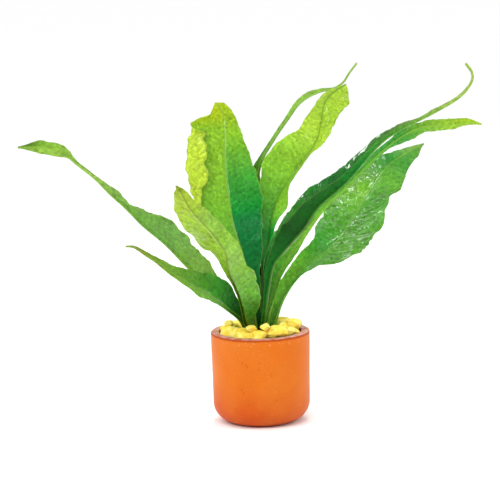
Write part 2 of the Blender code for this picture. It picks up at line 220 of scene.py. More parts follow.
pot = {
    "radius": 50 * mm, "height": 92 * mm, "wall": 9.5 * mm, "floor": 9 * mm, "taper": 1.5 * mm,
    "sides": 144, "foot": 19.5 * mm, "innerFoot": 9 * mm, "rimOuter": 1.6 * mm, "rimInner": 2.5 * mm,
    "drain": 6 * mm, "drainEdge": 0.8 * mm, "wobble": 0.18 * mm, "rimChips": 0.35 * mm,
    # low is the body's colour with painted shade, for the darker bottom of the pot
    "body": seen(247, 131, 32), "low": seen(226, 92, 22), "pale": seen(253, 160, 78),
    # rimTop is the rim's dusty pink-brown made paler and pinker by painted sheen of the pale surroundings
    "rimTop": seen(236, 186, 168), "rimStain": seen(196, 120, 92), "rimEdge": seen(206, 92, 26),
    # fleck is pale grit in the clay, and also the painted glints just under the rim
    # inside is a painted shadow, the dark maroon of the shaded inner wall
    "inside": seen(120, 40, 30), "pit": seen(158, 62, 24), "fleck": seen(255, 214, 170),
}


def makePot():
    startPiece()
    bpy.ops.mesh.primitive_cylinder_add(vertices=pot["sides"], radius=pot["radius"], depth=pot["height"],
                                        location=(0, 0, pot["height"] / 2))
    bpy.ops.object.transform_apply(location=True)
    piece = bpy.context.object
    piece.name = "terracottaPot"
    inner = pot["radius"] - pot["wall"]
    bpy.ops.object.mode_set(mode="EDIT")
    pickFaces(lambda middle, normal: normal.z > 0.9)
    bpy.ops.mesh.inset(thickness=pot["wall"])
    bpy.ops.mesh.extrude_region_move(
        TRANSFORM_OT_translate={"value": (0, 0, pot["floor"] - pot["height"])})
    footInner = inner - pot["taper"]
    narrow = footInner / inner
    bpy.ops.transform.resize(value=(narrow, narrow, 1))
    bpy.ops.mesh.inset(thickness=footInner - pot["drain"])
    pickEdges(ringTest(0, pot["radius"]))
    narrow = 1 - pot["taper"] / pot["radius"]
    bpy.ops.transform.resize(value=(narrow, narrow, 1))
    pickFaces(lambda middle, normal: normal.z < -0.9)
    footOuter = pot["radius"] - pot["taper"]
    bpy.ops.mesh.inset(thickness=footOuter - pot["drain"])
    pickFaces(lambda middle, normal: middle.xy.length < mm and abs(normal.z) > 0.9)
    bpy.ops.mesh.bridge_edge_loops()
    bevelRing(0, footOuter, pot["foot"], 14)
    bevelRing(pot["height"], pot["radius"], pot["rimOuter"], 5)
    bevelRing(pot["height"], inner, pot["rimInner"], 6)
    bevelRing(pot["floor"], footInner, pot["innerFoot"], 8)
    bevelRing(0, pot["drain"], pot["drainEdge"], 3)
    bevelRing(pot["floor"], pot["drain"], pot["drainEdge"], 3)
    longWall = pot["height"] * 0.6
    pickEdges(lambda a, b: abs(a.z - b.z) > longWall)
    bpy.ops.mesh.subdivide(number_cuts=14)
    bpy.ops.mesh.select_all(action="SELECT")
    bpy.ops.mesh.normals_make_consistent(inside=False)
    bpy.ops.object.mode_set(mode="OBJECT")
    for point in piece.data.vertices:
        spot = point.co / (30 * mm)
        outward = Vector((point.co.x, point.co.y, 0)).normalized()
        if point.co.z > mm:
            point.co += outward * noise.noise(spot) * pot["wobble"]
        if point.co.z > pot["height"] - 0.4 * mm:
            wear = noise.noise(point.co / (3.1 * mm))
            point.co.z -= pot["rimChips"] * max(0.0, wear)
    bpy.ops.object.shade_smooth_by_angle(angle=math.radians(35))
    finishPiece(piece, potFinish(), "terracotta", "terracotta_pot")


def potFinish():
    finish = Finish("fired terracotta", Roughness=0.5, Specular_IOR_Level=0.16)
    spot = finish.place()
    x, y, z = finish.split(spot)
    radius = (x * x + y * y) ** 0.5
    cloud = finish.noise(spot, 22.0, 4.0)
    grain = finish.noise(spot, 420.0, 3.0)
    pits = finish.cells(spot, 230.0)
    rarePits = (1 - pits.rise(0.08, 0.2)) * finish.noise(spot, 60.0).rise(0.52, 0.6)
    # pale grit over the whole body, plus the painted highlights under the rim added below
    flecksAndGlints = (1 - finish.cells(spot, 310.0).rise(0.06, 0.16)) * finish.noise(spot, 75.0).rise(0.5, 0.58)
    # painted highlights: more pale specks in a band just under the rim, for the small glints along its edge
    rimGlints = (z + cloud * (4 * mm)).rise(pot["height"] - 7 * mm, pot["height"] - 3 * mm)
    flecksAndGlints = flecksAndGlints + rimGlints * finish.noise(spot, 520.0, 2.0).rise(0.6, 0.7) * 0.8
    # painted shade: the body turns darker and redder towards the bottom, for the shade low on the pot
    low = 1 - (z + cloud * (22 * mm)).rise(14 * mm, 62 * mm)
    colour = finish.mix(low * 0.75, pot["body"], pot["low"])
    colour = finish.mix((cloud - 0.42) * 0.9, colour, pot["pale"])
    colour = finish.shade(colour, grain * 0.16 + 0.92)
    colour = finish.mix(rarePits * 0.7, colour, pot["pit"])
    colour = finish.mix(flecksAndGlints * 0.5, colour, pot["fleck"])
    ragged = (grain - 0.5) * (1.6 * mm) + (cloud - 0.5) * (2.0 * mm)
    edge = (z + ragged).rise(pot["height"] - 3.2 * mm, pot["height"] - 1.6 * mm)
    colour = finish.mix(edge, colour, pot["rimEdge"])
    flat = (z + ragged * 0.3).rise(pot["height"] - 0.7 * mm, pot["height"] - 0.25 * mm)
    # the rim top: its own dusty pink-brown and stains, with painted sheen making it paler and pinker
    dustAndSheen = finish.mix(finish.noise(spot, 130.0, 4.0).rise(0.42, 0.7), pot["rimTop"], pot["rimStain"])
    colour = finish.mix(flat * 0.9, colour, dustAndSheen)
    # painted shadow: the inner wall above the floor is painted dark maroon for the shade inside the pot
    hollow = (1 - radius.rise(pot["radius"] - pot["wall"] + 0.3 * mm, pot["radius"] - pot["wall"] + 2 * mm))
    hollow = hollow * z.rise(pot["floor"] - mm, pot["floor"])
    colour = finish.mix(hollow, colour, pot["inside"])
    finish.feed("Base Color", colour)
    finish.feed("Roughness", grain * 0.25 + 0.34 + flat * 0.2 + hollow * 0.2)
    finish.bump(grain * 0.5 - rarePits * 1.2 + finish.noise(spot, 900.0) * 0.25, 0.12 * mm, 0.7)
    return finish


makePot()
print("pot made")


# Potting mix and crown

mix = {"rings": 9, "lump": 1.1 * mm, "lumpSize": 5 * mm, "chips": 70, "chipSink": 0.2 * mm, "seed": 4,
       "edge": 2 * mm, "crownRoom": 13 * mm, "wallRoom": 5 * mm,
       "dark": paint(40, 28, 20), "brown": paint(84, 60, 40), "grey": paint(128, 108, 84)}


def makeMix():
    low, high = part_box("potting_mix")
    radius = high.x
    height = high.z - low.z
    startPiece()
    bpy.ops.mesh.primitive_cylinder_add(vertices=96, radius=radius, depth=height,
                                        location=(0, 0, (low.z + high.z) / 2))
    bpy.ops.object.transform_apply(location=True)
    piece = bpy.context.object
    piece.name = "pottingMix"
    bpy.ops.object.mode_set(mode="EDIT")
    bevelRing(low.z, radius, pot["innerFoot"], 5)
    bevelRing(high.z, radius, mix["edge"], 3)
    pickFaces(lambda middle, normal: normal.z > 0.9 and middle.xy.length < mm)
    step = (radius - mix["edge"]) / (mix["rings"] + 1)
    for ring in range(mix["rings"]):
        bpy.ops.mesh.inset(thickness=step)
    bpy.ops.mesh.poke()
    bpy.ops.object.mode_set(mode="OBJECT")
    for point in piece.data.vertices:
        if point.co.z > high.z - 3 * mm:
            spot = point.co / mix["lumpSize"]
            point.co.z += mix["lump"] * (noise.noise(spot) + 0.5 * noise.noise(spot * 2.7) - 0.6)
    picker = random.Random(mix["seed"])
    chips = []
    for number in range(mix["chips"]):
        angle = picker.uniform(0, math.tau)
        reach = picker.uniform(mix["crownRoom"], radius - mix["wallRoom"])
        startPiece()
        bpy.ops.mesh.primitive_cube_add(size=1)
        chip = bpy.context.object
        sizes = (picker.uniform(3, 6) * mm, picker.uniform(2, 3.5) * mm, picker.uniform(0.8, 1.6) * mm)
        bpy.ops.object.mode_set(mode="EDIT")
        bpy.ops.mesh.bevel(offset=0.16, segments=1, affect="EDGES")
        bpy.ops.transform.resize(value=sizes)
        bpy.ops.object.mode_set(mode="OBJECT")
        turn = Matrix.Rotation(picker.uniform(0, math.tau), 4, "Z")
        tip = Matrix.Rotation(picker.uniform(-0.4, 0.4), 4, "X")
        middle = Vector((reach * math.cos(angle), reach * math.sin(angle), high.z - mix["chipSink"]))
        chip.data.transform(Matrix.Translation(middle) @ (turn @ tip))
        chips.append(chip)
    startPiece()
    for chip in chips:
        chip.select_set(True)
    piece.select_set(True)
    bpy.context.view_layer.objects.active = piece
    bpy.ops.object.join()
    bpy.ops.object.shade_smooth_by_angle(angle=math.radians(40))
    finishPiece(piece, mixFinish(), "potting_mix", "potting_mix")


def mixFinish():
    finish = Finish("peaty potting mix", Roughness=0.95)
    spot = finish.place()
    crumbs = finish.cells(spot, 420.0)
    cloud = finish.noise(spot, 160.0, 4.0)
    colour = finish.mix(cloud.rise(0.35, 0.7), mix["dark"], mix["brown"])
    colour = finish.mix(finish.noise(spot, 700.0).rise(0.6, 0.75) * 0.6, colour, mix["grey"])
    finish.feed("Base Color", colour)
    finish.bump(crumbs * 0.8 + cloud * 0.6, 0.8 * mm, 0.8)
    return finish


crown = {"scales": 110, "scaleLength": 5.5 * mm, "scaleRadius": 0.9 * mm, "scaleTurn": 2.39996, "seed": 9,
         "dark": paint(52, 34, 20), "tan": paint(122, 88, 50)}


def makeCrown():
    low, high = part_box("crown")
    radius = high.x
    height = high.z - low.z
    startPiece()
    bpy.ops.mesh.primitive_uv_sphere_add(segments=48, ring_count=24, radius=1)
    piece = bpy.context.object
    piece.name = "crown"
    bpy.ops.object.mode_set(mode="EDIT")
    bpy.ops.mesh.bisect(plane_co=(0, 0, 0), plane_no=(0, 0, 1), clear_inner=True, use_fill=True)
    bpy.ops.mesh.select_all(action="SELECT")
    bpy.ops.transform.resize(value=(radius, radius, height), center_override=(0, 0, 0))
    bpy.ops.transform.translate(value=(0, 0, low.z))
    bpy.ops.object.mode_set(mode="OBJECT")
    for point in piece.data.vertices:
        if point.co.z > low.z + 0.1 * mm:
            point.co *= 1 + 0.012 * noise.noise(point.co / (2.2 * mm))
    picker = random.Random(crown["seed"])
    scales = []
    startPiece()
    bpy.ops.mesh.primitive_cone_add(vertices=5, radius1=crown["scaleRadius"],
                                    depth=crown["scaleLength"])
    pattern = bpy.context.object
    bpy.ops.object.mode_set(mode="EDIT")
    bpy.ops.transform.resize(value=(1, 0.3, 1))
    bpy.ops.transform.translate(value=(0, 0, crown["scaleLength"] / 2))
    bpy.ops.object.mode_set(mode="OBJECT")
    for number in range(crown["scales"]):
        scale = pattern.copy()
        scale.data = pattern.data.copy()
        bpy.context.collection.objects.link(scale)
        angle = number * crown["scaleTurn"]
        slope = math.acos(1 - 0.9 * (number + 0.5) / crown["scales"])
        level = math.sin(slope)
        outward = Vector((level * math.cos(angle), level * math.sin(angle), math.cos(slope)))
        foot = Vector((outward.x * radius * 0.95, outward.y * radius * 0.95,
                       low.z + outward.z * height * 0.9))
        lean = Vector((picker.uniform(-0.5, 0.5), picker.uniform(-0.5, 0.5), 0.7))
        aim = (outward * 0.5 + lean).normalized()
        scale.data.transform(Matrix.Translation(foot) @ aim.to_track_quat("Z", "Y").to_matrix().to_4x4())
        scales.append(scale)
    startPiece()
    pattern.select_set(True)
    bpy.context.view_layer.objects.active = pattern
    bpy.ops.object.delete()
    for scale in scales:
        scale.select_set(True)
    piece.select_set(True)
    bpy.context.view_layer.objects.active = piece
    bpy.ops.object.join()
    bpy.ops.object.shade_smooth_by_angle(angle=math.radians(40))
    finish = Finish("brown crown scales", Roughness=0.8)
    spot = finish.place()
    streak = finish.noise(spot, 500.0, 3.0)
    finish.feed("Base Color", finish.mix(streak.rise(0.4, 0.65), crown["dark"], crown["tan"]))
    finish.bump(streak, 0.3 * mm)
    finishPiece(piece, finish, "crown", "crown")


makeMix()
makeCrown()
print("potting mix and crown made")


# Yellow stones, each a crumbly lump cut back by a few broken faces

stones = {
    "detail": 4, "growWide": 1.7, "growTall": 1.1, "faces": 8, "shallow": 0.78, "deep": 0.5,
    "crumble": 0.09, "grit": 0.05, "seed": 30,
    "pale": paint(252, 236, 120), "yellow": paint(248, 216, 62), "olive": paint(206, 168, 32),
    "chalk": paint(255, 250, 186),
}


def stoneFinish():
    finish = Finish("crumbly yellow stone", Roughness=0.9)
    spot = finish.place()
    cloud = finish.noise(spot, 130.0, 3.0)
    grain = finish.noise(spot, 620.0, 4.0, 0.65)
    hollow = finish.attribute("hollow")
    colour = finish.mix(cloud.rise(0.35, 0.65), stones["yellow"], stones["pale"])
    colour = finish.mix(hollow.rise(0.25, 0.9) * 0.6, colour, stones["olive"])
    colour = finish.mix(grain.rise(0.58, 0.72) * 0.5, colour, stones["chalk"])
    colour = finish.shade(colour, grain * 0.24 + 0.88)
    finish.feed("Base Color", colour)
    finish.bump(grain + finish.noise(spot, 1500.0) * 0.4, 0.5 * mm, 0.8)
    return finish


def makeStone(node, number, finish):
    low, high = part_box(node)
    middle = (low + high) / 2
    half = (high - low) / 2
    half = Vector((half.x * stones["growWide"], half.y * stones["growWide"], half.z * stones["growTall"]))
    startPiece()
    bpy.ops.mesh.primitive_ico_sphere_add(subdivisions=stones["detail"], radius=1)
    piece = bpy.context.object
    piece.name = "yellowStone%02d" % number
    picker = random.Random(stones["seed"] + number)
    cuts = []
    for face in range(stones["faces"]):
        aim = Vector((picker.gauss(0, 1), picker.gauss(0, 1), picker.gauss(0, 1))).normalized()
        cuts.append((aim, picker.uniform(stones["deep"], stones["shallow"])))
    points = [point.co.copy() for point in piece.data.vertices]
    hollows = []
    for index, point in enumerate(points):
        start = point.copy()
        for aim, depth in cuts:
            beyond = point.dot(aim) - depth
            if beyond > 0:
                point -= aim * beyond * 0.9
        spot = start * 2.2 + Vector((number * 5.3, number * 2.9, 0))
        crumble = noise.noise(spot) + 0.5 * noise.noise(spot * 2.3)
        grit = noise.noise(spot * 6)
        point *= 1 + stones["crumble"] * crumble + stones["grit"] * grit
        hollows.append(max(0.0, -crumble * 1.3 - grit * 0.6))
        points[index] = point
    widest = [max(abs(point[axis]) for point in points) for axis in range(3)]
    for vertex, point in zip(piece.data.vertices, points):
        vertex.co = middle + Vector([point[axis] / widest[axis] * half[axis] for axis in range(3)])
    mark = piece.data.attributes.new("hollow", "FLOAT", "POINT")
    mark.data.foreach_set("value", hollows)
    bpy.ops.object.shade_smooth_by_angle(angle=math.radians(30))
    finishPiece(piece, finish, "yellow_stone", node)


stoneLook = stoneFinish()
stoneNodes = sorted(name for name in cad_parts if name.startswith("yellow_stone"))
for number, node in enumerate(stoneNodes, start=1):
    makeStone(node, number, stoneLook)
print("stones made:", len(stoneNodes))


# Fronds. A blade is a grid laid along its midrib, which no stack of extrusions gives the right sweep to.
# Places are in millimetres; every list beside them reads by share of the length, from stalk to tip:
# the width of each half, the angle by which each half rises, and the colour of each half.
# The colours carry painted light and shade besides the leaf's own greens: a half in the shade of other fronds
# is painted darker, a backlit one paler, and the light list paints extra brightness near the stalk.

def both(name, keys):
    # the same list for the left and the right half
    return {name + "Left": keys, name + "Right": keys}


frondBasics = {
    "rows": 260, "columns": 20, "crowding": 1.2, "samples": 400,
    "stalkThickness": 3.4, "tipThickness": 0.6, "blade": 0.65, "margin": 0.45, "keelWidth": 1.7,
    "ruffle": 2.2, "ruffleLength": 34, "crimp": 0.7, "crimpLength": 11, "edgeWave": 0.06, "edgeWaveLength": 9,
    "teeth": 1.5, "teethLength": 6, **both("hem", [(0, 0)]), "hemBend": 5, "hemRagged": 0.3, "hemWave": 9,
    **both("turn", [(0, 0)]), **both("shine", [(0, 0.15)]), "light": [(0, 1)], "specular": 0.14,
    **both("pucker", [(0, 0.45)]), "puckerSize": 9, "bendLength": 30, "groove": 0.4, "grooveWidth": 1.3,
    **both("veins", [(0, 0.07)]), "veinSpacing": 7.0, "veinSlant": 0.7, "fineVeinSpacing": 1.6,
    "keelInFront": False, "ribColour": seen(160, 206, 84), "ribStrength": 0.5,
    "edgeColour": seen(186, 214, 96), "edgeStrength": 0.3, "underColour": seen(150, 196, 92),
    "underStrength": 0.1, "veinLight": 0.12, "cloudy": 0.36, "speckle": 0.36, "netLight": 0.3,
    "netDark": 0.16,
}


def valueAt(share, keys):
    # reads a list of (share, value), with rounded ends to each stretch
    if share <= keys[0][0]:
        return keys[0][1]
    for (low, before), (high, after) in zip(keys, keys[1:]):
        if share <= high:
            t = (share - low) / (high - low)
            return before + (after - before) * (0.5 * t + 0.5 * t * t * (3 - 2 * t))
    return keys[-1][1]


def faceAt(share, keys):
    for (low, before), (high, after) in zip(keys, keys[1:]):
        if share <= high:
            return Vector(before).lerp(Vector(after), (share - low) / (high - low))
    return Vector(keys[-1][1])


def smoothStep(low, high, value):
    t = max(0.0, min(1.0, (value - low) / (high - low)))
    return t * t * (3 - 2 * t)


def curvePoint(points, position):
    index = min(int(position), len(points) - 2)
    t = position - index
    before = points[max(index - 1, 0)]
    here = points[index]
    there = points[index + 1]
    after = points[min(index + 2, len(points) - 1)]
    return 0.5 * (2 * here + (there - before) * t + (2 * before - 5 * here + 4 * there - after) * t ** 2
                  + (3 * here - before - 3 * there + after) * t ** 3)


def evenMidrib(points, rows, samples):
    # evenly spaced points from stalk to tip, and the midrib's length
    points = [Vector(p) for p in points]
    step = (len(points) - 1) / samples
    fine = [curvePoint(points, index * step) for index in range(samples + 1)]
    lengths = [0.0]
    for a, b in zip(fine, fine[1:]):
        lengths.append(lengths[-1] + (b - a).length)
    even = []
    at = 0
    for place in range(rows + 1):
        target = lengths[-1] * place / rows
        while at < len(fine) - 2 and lengths[at + 1] < target:
            at += 1
        t = (target - lengths[at]) / (lengths[at + 1] - lengths[at])
        even.append(fine[at].lerp(fine[at + 1], min(t, 1.0)))
    return even, lengths[-1]


def layHalf(look, half, share, distance, centre, side, face):
    # one row of one half, from the midrib out: place, reach, distance across, thickness
    sign = -1.0 if half == "Left" else 1.0
    seed = look["seed"] * 7.7 + sign
    columns = look["columns"]
    wave = noise.noise(Vector((distance / look["edgeWaveLength"], seed, 3.1)))
    grown = smoothStep(0.05, 0.2, share)
    flat = valueAt(share, look["width" + half]) * (1 + look["edgeWave"] * wave * grown)
    ragged = noise.noise(Vector((distance / look["hemWave"], seed, 9.4)))
    hem = valueAt(share, look["hem" + half]) * (1 + look["hemRagged"] * ragged)
    teeth = look["teeth"] * abs(noise.noise(Vector((distance / look["teethLength"], seed, 7.3))))
    width = flat + hem - min(teeth, flat * 0.12) * grown
    turnFrom = flat / width if hem > 0 else 1.0
    turnTo = turnFrom + look["hemBend"] / width
    fold = valueAt(share, look["fold" + half])
    turn = valueAt(share, look["turn" + half])
    keel = look["stalkThickness"] + (look["tipThickness"] - look["stalkThickness"]) * share ** 0.6
    row = []
    across = 0.0
    rise = 0.0
    last = 0.0
    for column in range(columns + 1):
        reach = (column / columns) ** look["crowding"]
        middle = (reach + last) / 2
        angle = math.radians(fold + turn * smoothStep(turnFrom, turnTo, middle))
        across += width * (reach - last) * math.cos(angle)
        rise += width * (reach - last) * math.sin(angle)
        last = reach
        out = width * reach
        outward = side * sign
        normal = face * math.cos(angle) - outward * math.sin(angle)
        broad = smoothStep(3, 22, width)
        spot = Vector((distance / look["ruffleLength"], sign * reach * 0.5, seed))
        lift = look["ruffle"] * broad * reach ** 1.7 * noise.noise(spot) * 1.6
        spot = Vector((distance / look["crimpLength"], sign * reach, seed + 5))
        lift += look["crimp"] * broad * reach ** 3 * noise.noise(spot) * 1.6
        spot = Vector((distance / look["puckerSize"], sign * out / look["puckerSize"], seed))
        bumps = noise.noise(spot) + 0.5 * noise.noise(spot * 2.1)
        lift += valueAt(share, look["pucker" + half]) * broad * smoothStep(1, 6, out) * bumps
        bend = noise.noise(Vector((distance / look["bendLength"], sign * out / look["bendLength"], seed + 2)))
        phase = (distance - out * look["veinSlant"]) / look["veinSpacing"] + bend * 1.5
        veinHeight = valueAt(share, look["veins" + half]) * (1 + 1.6 * bend)
        lift += veinHeight * broad * smoothStep(2, 9, out) * math.sin(math.tau * phase)
        lift -= look["groove"] * math.exp(-(out / look["grooveWidth"]) ** 2)
        place = centre + outward * across + face * rise + normal * lift
        thick = look["blade"] + (look["margin"] - look["blade"]) * reach
        thick += keel * math.exp(-(out / look["keelWidth"]) ** 2)
        row.append((place, sign * reach, sign * out, thick))
    return row


def growFrond(frond):
    look = {**frondBasics, **frond}
    rows = look["rows"]
    columns = look["columns"]
    midrib, length = evenMidrib(look["midrib"], rows, look["samples"])
    places = []
    for row, centre in enumerate(midrib):
        share = row / rows
        along = (midrib[min(row + 1, rows)] - midrib[max(row - 1, 0)]).normalized()
        face = faceAt(share, look["face"])
        face = (face - along * face.dot(along)).normalized()
        side = along.cross(face)
        distance = length * share
        left = layHalf(look, "Left", share, distance, centre, side, face)
        right = layHalf(look, "Right", share, distance, centre, side, face)
        shines = [valueAt(share, look["shine" + half]) for half in ("Left", "Right")]
        # painted light: how much brighter the colour is painted at this share, mostly near the stalk
        paintedLight = valueAt(share, look["light"])
        places.append([(share, distance, paintedLight, shines[point[1] > 0], *point) for point in left[:0:-1] + right])
    startPiece()
    bpy.ops.mesh.primitive_grid_add(x_subdivisions=rows, y_subdivisions=2 * columns, size=2)
    piece = bpy.context.object
    words = look["node"].split("_")
    piece.name = words[0] + "".join(word.capitalize() for word in words[1:])
    mesh = piece.data
    values = {"share": [], "along": [], "light": [], "shine": [], "reach": [], "across": []}
    thickness = piece.vertex_groups.new(name="thickness")
    full = look["stalkThickness"] + look["blade"]
    for vertex in mesh.vertices:
        row = round((vertex.co.x + 1) / 2 * rows)
        column = round((vertex.co.y + 1) / 2 * 2 * columns)
        share, distance, paintedLight, shine, place, reach, across, thick = places[row][column]
        vertex.co = place * mm
        for numbers, value in zip(values.values(), (share, distance, paintedLight, shine, reach, across)):
            numbers.append(value)
        thickness.add([vertex.index], thick / full, "REPLACE")
    for name, numbers in values.items():
        mesh.attributes.new(name, "FLOAT", "POINT").data.foreach_set("value", numbers)
    sheetPoints = len(mesh.vertices)
    skin = piece.modifiers.new("thickness", "SOLIDIFY")
    skin.thickness = full * mm
    skin.vertex_group = "thickness"
    skin.offset = -1.0 if look["keelInFront"] else 1.0
    bpy.ops.object.modifier_apply(modifier="thickness")
    # the grid's own points end up on the back, which is the underside unless the keel is in front
    under = [1.0 if index < sheetPoints else 0.0 for index in range(len(mesh.vertices))]
    if look["keelInFront"]:
        under = [1.0 - value for value in under]
    mesh.attributes.new("under", "FLOAT", "POINT").data.foreach_set("value", under)
    bpy.ops.object.shade_smooth()
    finishPiece(piece, leafFinish(look), "leaf", look["node"])


def leafFinish(look):
    finish = Finish(look["node"].replace("_", " ") + " leaf", Coat_Roughness=0.07,
                    Specular_IOR_Level=look["specular"])
    share = finish.attribute("share")
    reach = finish.attribute("reach")
    along = finish.attribute("along")
    across = finish.attribute("across")
    under = finish.attribute("under")
    out = across.size()
    blade = finish.node("ShaderNodeCombineXYZ", {}, {0: along, 1: across, 2: look["seed"] * 41.0})
    cloud = finish.noise(blade, 0.05, 3.0)
    mottle = finish.noise(blade, 0.28, 3.0)
    puckers = finish.noise(blade, 0.32, 2.0)
    veins = ((along - out * look["veinSlant"]) * (1 / look["veinSpacing"]) + cloud * 1.2).wave()
    fineVeins = ((along - out * look["veinSlant"]) * (1 / look["fineVeinSpacing"]) + cloud * 3).wave()
    # each half's colour along the frond: its own green with painted shade where it lies in the shade of other
    # fronds and painted light where it is backlit
    leftTone = finish.node("ShaderNodeValToRGB", {"stops": look["toneLeft"]}, {0: share})
    rightTone = finish.node("ShaderNodeValToRGB", {"stops": look["toneRight"]}, {0: share})
    tone = finish.mix(reach.rise(-0.01, 0.01), leftTone, rightTone)
    bright = 1 + (cloud - 0.5) * look["cloudy"] * 2 + (mottle - 0.5) * look["speckle"] * 2
    warped = finish.node("ShaderNodeCombineXYZ", {},
                         {0: along + mottle * 7, 1: across + cloud * 9, 2: look["seed"]})
    net = finish.node("ShaderNodeTexVoronoi", {"feature": "DISTANCE_TO_EDGE"},
                      {"Vector": warped, "Scale": 0.12})
    lines = (1 - net.rise(0.0, 0.08)) * mottle.rise(0.35, 0.55)
    creases = (1 - net.rise(0.05, 0.16)) * (1 - mottle.rise(0.42, 0.56))
    bright = bright + veins ** 6 * look["veinLight"] + fineVeins * 0.08
    bright = bright + lines * look["netLight"] - creases * look["netDark"]
    # painted light: the light list raises the colour near the stalk, where the fronds lie in each other's
    # shade
    bright = bright * finish.attribute("light")
    tone = finish.mix(under * look["underStrength"], tone, look["underColour"])
    tone = finish.shade(tone, bright)
    rib = (1 - out.rise(0.4, 1.4)) * look["ribStrength"]
    tone = finish.mix(rib, tone, look["ribColour"])
    edge = reach.size().rise(0.95, 0.985) * look["edgeStrength"]
    tone = finish.mix(edge, tone, look["edgeColour"])
    finish.feed("Base Color", tone)
    gloss = finish.attribute("shine") * finish.noise(blade, 0.09, 2.0).rise(0.32, 0.5)
    finish.feed("Coat Weight", gloss)
    finish.feed("Roughness", mottle * 0.2 + 0.36 - gloss * 0.28)
    height = fineVeins * 0.05 + puckers * 0.4 + mottle * 0.25 - lines * 0.12
    finish.bump(height, mm, 0.8)
    return finish


frondFarLeft = {
    "node": "frond_far_left", "seed": 1,
    "midrib": [(-10, 3, 89), (-17, -1, 106), (-39, -8, 129), (-66, -18, 157), (-91, -28, 186),
               (-113, -36, 207), (-129, -42, 226), (-143, -46, 240), (-157, -49, 256),
               (-173, -52, 270), (-187, -55, 282), (-206, -58, 288), (-230, -60, 289)],
    "face": [(0, (0.7, -0.2, 0.6)), (0.75, (0.6, -0.25, 0.7)), (0.88, (0.2, -0.85, 0.5)),
             (1, (0.1, -0.9, 0.4))],
    "widthLeft": [(0, 2), (0.15, 6), (0.22, 18), (0.3, 27), (0.37, 30), (0.43, 33), (0.49, 35),
                  (0.55, 20), (0.6, 8), (0.655, 12), (0.7, 7), (0.74, 2), (0.81, 2), (0.87, 8),
                  (0.93, 8), (1, 0.6)],
    "widthRight": [(0, 2), (0.15, 5), (0.22, 12), (0.3, 18), (0.41, 19), (0.48, 20), (0.55, 12),
                   (0.6, 4), (0.655, 7), (0.7, 4), (0.74, 2), (0.81, 2), (0.87, 7), (0.93, 7), (1, 0.6)],
    **both("fold", [(0, 50), (0.25, 62), (0.75, 60), (0.88, 15), (1, 10)]),
    "toneLeft": [(0, seen(90, 130, 55)), (0.25, seen(132, 184, 66)), (0.45, seen(104, 165, 66)),
                 (0.6, seen(112, 166, 66)), (0.75, seen(154, 193, 90)), (0.9, seen(150, 192, 80)),
                 (1, seen(110, 150, 60))],
    "toneRight": [(0, seen(90, 130, 55)), (0.4, seen(84, 136, 58)), (0.75, seen(160, 200, 100)),
                  (0.9, seen(145, 190, 76)), (1, seen(70, 110, 50))],
}
growFrond(frondFarLeft)

frondLowLeft = {
    "node": "frond_low_left", "seed": 2,
    "midrib": [(-12, -4, 89), (-18, -9, 105), (-36, -28, 124), (-49, -42, 137), (-61, -54, 146),
               (-82, -72, 163), (-98, -84, 178), (-107, -93, 186), (-118, -99, 195), (-126, -103, 197)],
    "face": [(0, (0.6, -0.5, 0.4)), (0.4, (0.35, -0.75, 0.55)), (1, (0.2, -0.6, 0.75))],
    "widthLeft": [(0, 2), (0.1, 8), (0.18, 8), (0.28, 6), (0.4, 10), (0.48, 12), (0.56, 8), (0.65, 6),
                  (0.8, 4), (1, 0.6)],
    "widthRight": [(0, 2), (0.12, 9), (0.28, 23), (0.39, 22), (0.48, 18), (0.6, 12), (0.7, 7),
                   (0.85, 4), (1, 0.6)],
    "foldLeft": [(0, 30), (0.4, 20), (1, 15)],
    "foldRight": [(0, 30), (0.4, 15), (1, 15)],
    "toneLeft": [(0, seen(50, 90, 42)), (0.2, seen(50, 98, 46)), (0.35, seen(112, 160, 84)),
                 (0.6, seen(124, 170, 74)), (0.85, seen(134, 166, 68)), (1, seen(120, 110, 60))],
    "toneRight": [(0, seen(40, 80, 40)), (0.2, seen(34, 104, 50)), (0.35, seen(72, 138, 60)),
                  (0.6, seen(104, 154, 64)), (0.8, seen(128, 164, 68)), (1, seen(120, 110, 60))],
    "light": [(0, 1.5), (0.3, 1.5), (0.6, 1.25), (1, 1)], "shineRight": [(0, 0.2), (0.3, 0.6), (0.6, 0.2)],
}
growFrond(frondLowLeft)

